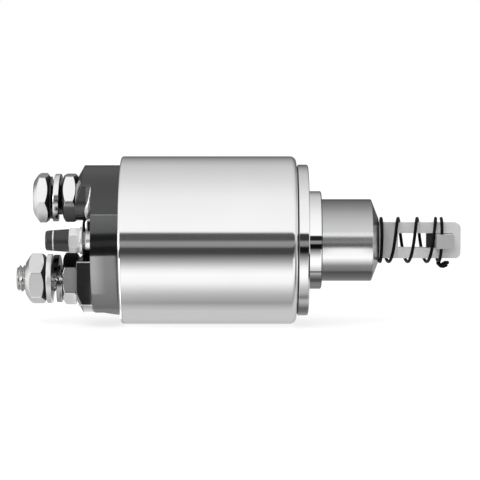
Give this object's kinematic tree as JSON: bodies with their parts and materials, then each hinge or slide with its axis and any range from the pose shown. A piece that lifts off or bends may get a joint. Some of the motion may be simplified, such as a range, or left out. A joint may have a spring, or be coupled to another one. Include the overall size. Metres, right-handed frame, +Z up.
{
  "type": "starter solenoid",
  "caption": "Cylindrical starter solenoid with a round mounting face, a sprung plunger with a slotted pull rod, and a black terminal cap with large threaded terminals and a small one.",
  "frame": {"origin": "centre of the front flange's mounting face, on the plunger's axis", "axes": "+X along the plunger towards its pull rod, +Z up towards the motor terminal"},
  "size_m": [0.1653, 0.0624, 0.0624],
  "materials": {
    "zinc_steel": "bright zinc, polished",
    "turned_steel": "satin",
    "plain_steel": "satin",
    "nut_zinc": "bright zinc",
    "soft_iron": "satin",
    "spring_steel": "black, semi-gloss",
    "spring_wire": "satin",
    "black_moulding": "glossy",
    "black_cap": "satin",
    "bobbin_plastic": "satin",
    "brown_insulation": "satin",
    "copper": "satin",
    "winding_wire": "lacquered",
    "brass_sleeve": "satin",
    "solder": "dull",
    "rubber_seal": "matt",
    "paper_wrap": "matt"
  },
  "bodies": {
    "housing": {"housing_can": "zinc_steel", "flange_gasket": "rubber_seal", "front_flange": "zinc_steel", "guide_sleeve": "brass_sleeve", "coil_bobbin": "bobbin_plastic", "pull_in_winding": "winding_wire", "hold_in_winding": "winding_wire", "coil_wrap": "paper_wrap", "fixed_core": "soft_iron", "core_plate": "soft_iron", "lead_grommets": "rubber_seal", "cap_gasket": "rubber_seal", "terminal_cap": "black_moulding", "battery_stud": "copper", "motor_contact": "copper", "motor_bolt": "nut_zinc", "inner_nuts": "nut_zinc", "lock_washers": "plain_steel", "battery_washer": "nut_zinc", "battery_nut": "nut_zinc", "control_stud": "plain_steel", "control_solder": "solder", "control_washer": "nut_zinc", "control_nut": "nut_zinc", "control_cap": "black_cap", "coil_leads": "winding_wire", "return_spring": "spring_wire", "contact_return_spring": "spring_wire"},
    "plunger": {"plunger": "turned_steel", "pull_rod": "plain_steel", "rod_cross_pin": "plain_steel", "outer_spring": "spring_steel"},
    "spring_seat": {"spring_seat": "plain_steel"},
    "contact_pin": {"contact_pin": "plain_steel", "pin_retaining_ring": "spring_steel", "pressure_spring": "spring_wire"},
    "contact_bridge": {"contact_bridge": "copper", "bridge_bush": "brown_insulation", "bridge_washer": "brown_insulation"}
  },
  "joints": [
    {"name": "plunger_slide", "type": "slide", "parent": "housing", "child": "plunger", "axis": [-1, 0, 0], "range_m": [0, 0.012], "stiffness_N_per_m": 1500, "springref_m": -0.004, "deforming": ["return_spring"]},
    {"name": "spring_seat_slide", "type": "slide", "parent": "plunger", "child": "spring_seat", "axis": [-1, 0, 0], "range_m": [0, 0.01], "stiffness_N_per_m": 1000, "springref_m": -0.002, "deforming": ["outer_spring"]},
    {"name": "contact_pin_slide", "type": "slide", "parent": "housing", "child": "contact_pin", "axis": [-1, 0, 0], "range_m": [0, 0.0035], "deforming": ["contact_return_spring"]},
    {"name": "contact_bridge_slide", "type": "slide", "parent": "contact_pin", "child": "contact_bridge", "axis": [1, 0, 0], "range_m": [0, 0.0013], "deforming": ["pressure_spring"]}
  ],
  "couplings": [
    {"joint": "contact_pin_slide", "follows": "plunger_slide", "ratio": 0.2916},
    {"joint": "contact_bridge_slide", "follows": "plunger_slide", "ratio": 0.1083}
  ]
}
